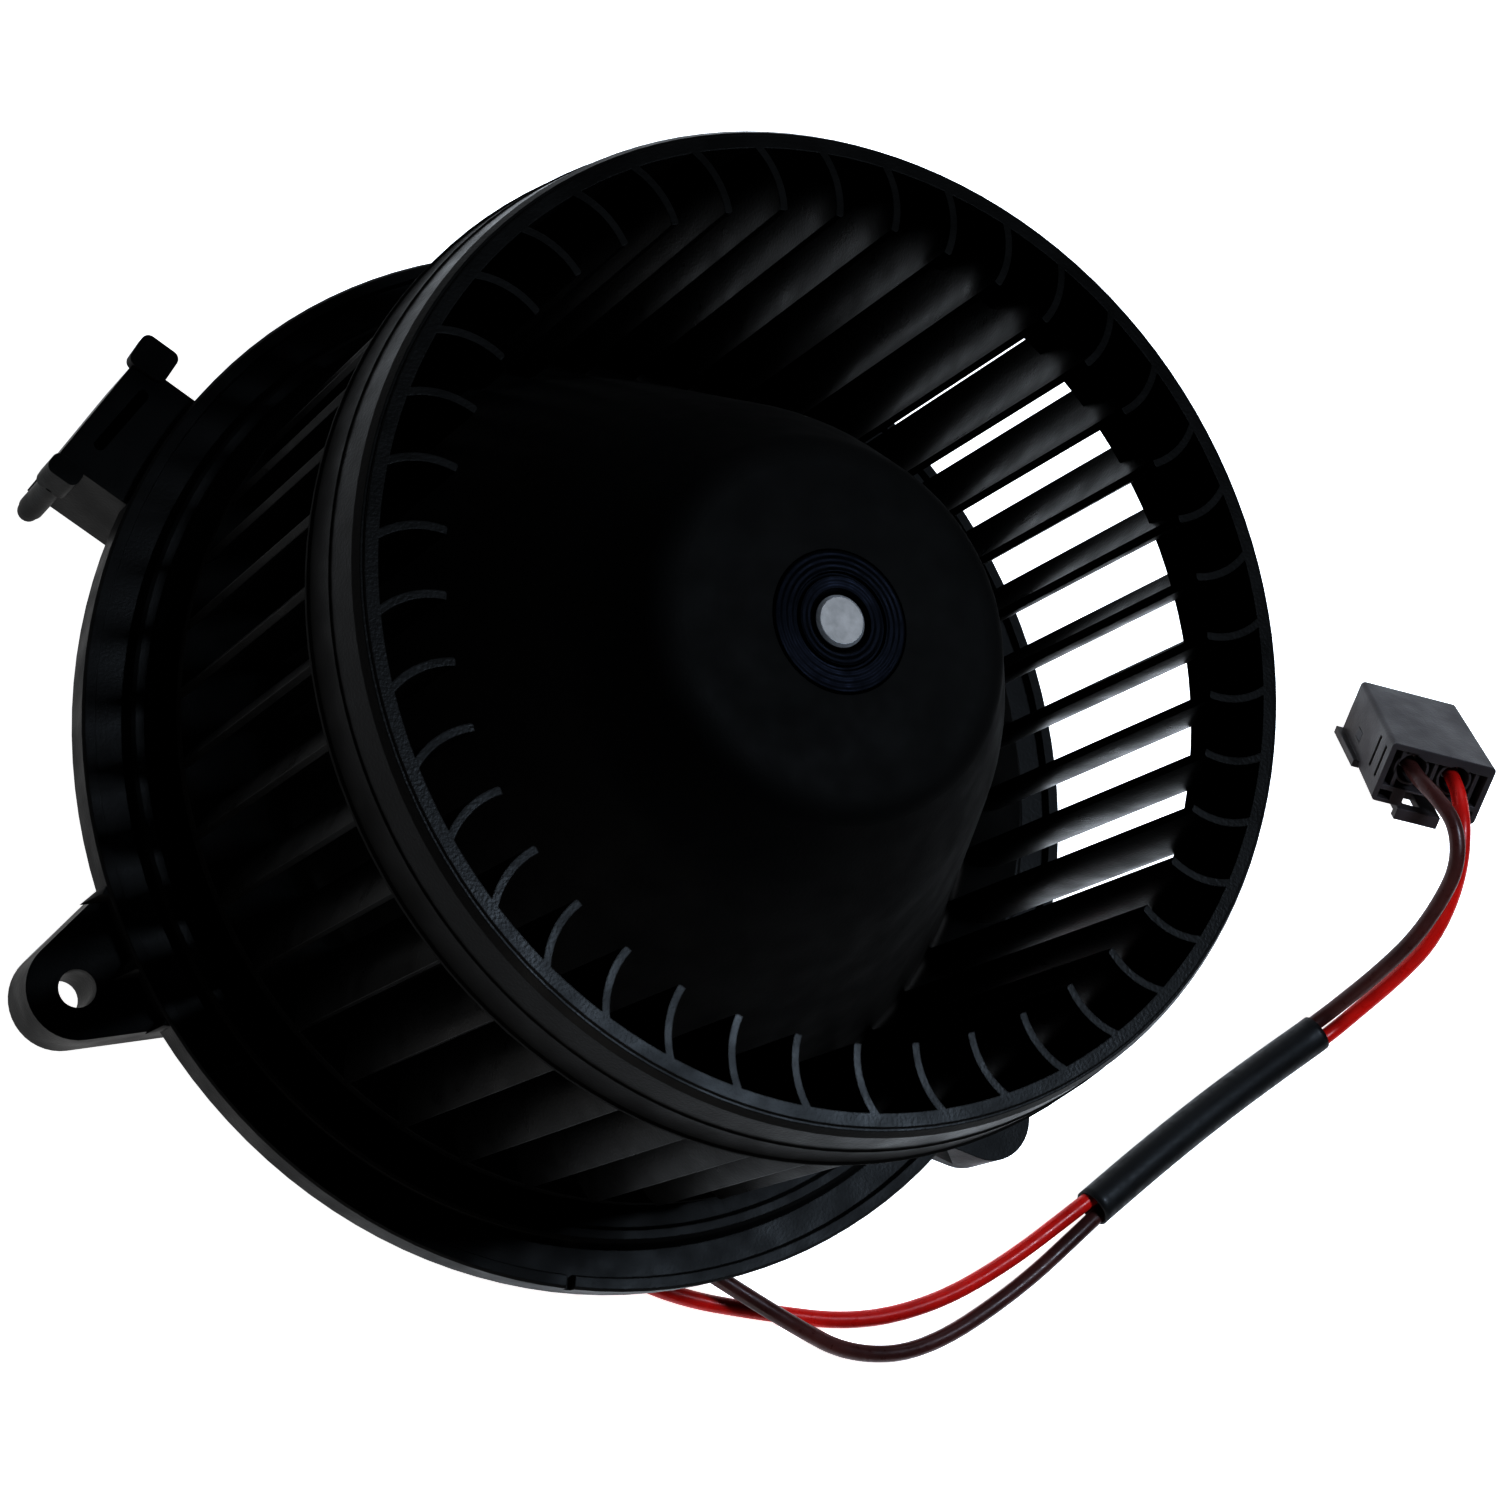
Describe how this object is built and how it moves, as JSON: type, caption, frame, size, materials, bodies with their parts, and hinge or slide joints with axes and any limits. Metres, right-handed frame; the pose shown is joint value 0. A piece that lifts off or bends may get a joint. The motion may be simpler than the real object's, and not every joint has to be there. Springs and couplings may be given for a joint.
{
  "type": "blower motor wheel",
  "caption": "Heater blower: bladed fan wheel on a brushed motor in a round mounting flange, with two leads and a connector.",
  "frame": {"origin": "centre of the motor cover's flat rear face, on the shaft's axis", "axes": "+Z along the motor shaft, out of the wheel's open intake; +X towards the side the leads run to; +Y across"},
  "size_m": [0.2912, 0.1973, 0.121],
  "materials": {
    "wheel_plastic": "black glass-filled polypropylene, fine satin",
    "flange_plastic": "black glass-filled polypropylene, fine satin",
    "cover_plastic": "black moulded plastic, satin",
    "hub_metal": "dark oxide, satin",
    "shaft_steel": "ground steel",
    "can_steel": "zinc plated, dull",
    "ferrite": "dark ceramic",
    "lamination_steel": "stacked steel edges",
    "copper": "enamelled or machined copper",
    "bronze": "oil-filled sintered bronze",
    "spring_steel": "drawn wire",
    "brass_sheet": "stamped sheet",
    "carbon": "pressed graphite",
    "board_plastic": "brown phenolic",
    "ferrite_choke": "dark ferrite rod with wire",
    "capacitor_resin": "dipped resin",
    "isolator_rubber": "soft matt rubber",
    "grommet_rubber": "matt rubber",
    "red_insulation": "soft vinyl, slightly glossy",
    "dark_insulation": "soft vinyl, slightly glossy",
    "sleeve_vinyl": "soft vinyl tube, satin",
    "connector_plastic": "dark grey nylon, satin",
    "terminal_tin": "tinned brass",
    "lock_plastic": "dark grey nylon",
    "screw_steel": "zinc plated"
  },
  "bodies": {
    "housing": {"mounting_flange": "flange_plastic", "motor_cover": "cover_plastic", "motor_can": "can_steel", "field_magnets": "ferrite", "front_bearing": "bronze", "rear_bearing": "bronze", "bearing_retainer": "spring_steel", "end_cap": "can_steel", "brush_plate": "board_plastic", "brush_holders": "brass_sheet", "carbon_brushes": "carbon", "brush_springs": "spring_steel", "terminal_board": "board_plastic", "suppression_chokes": "ferrite_choke", "suppression_capacitor": "capacitor_resin", "front_isolator": "isolator_rubber", "rear_isolator": "isolator_rubber", "cover_screws": "screw_steel", "lead_grommet": "grommet_rubber", "red_lead": "red_insulation", "dark_lead": "dark_insulation", "lead_sleeve": "sleeve_vinyl", "connector_housing": "connector_plastic", "lead_terminals": "terminal_tin", "terminal_lock": "lock_plastic"},
    "rotor": {"fan_wheel": "wheel_plastic", "hub_bush": "hub_metal", "motor_shaft": "shaft_steel", "armature_core": "lamination_steel", "armature_windings": "copper", "commutator": "copper", "thrust_washers": "board_plastic"}
  },
  "joints": [
    {"name": "wheel_spin", "type": "hinge", "parent": "housing", "child": "rotor", "pos_m": [0, 0, 0.08], "axis": [0, 0, 1], "continuous": true}
  ]
}
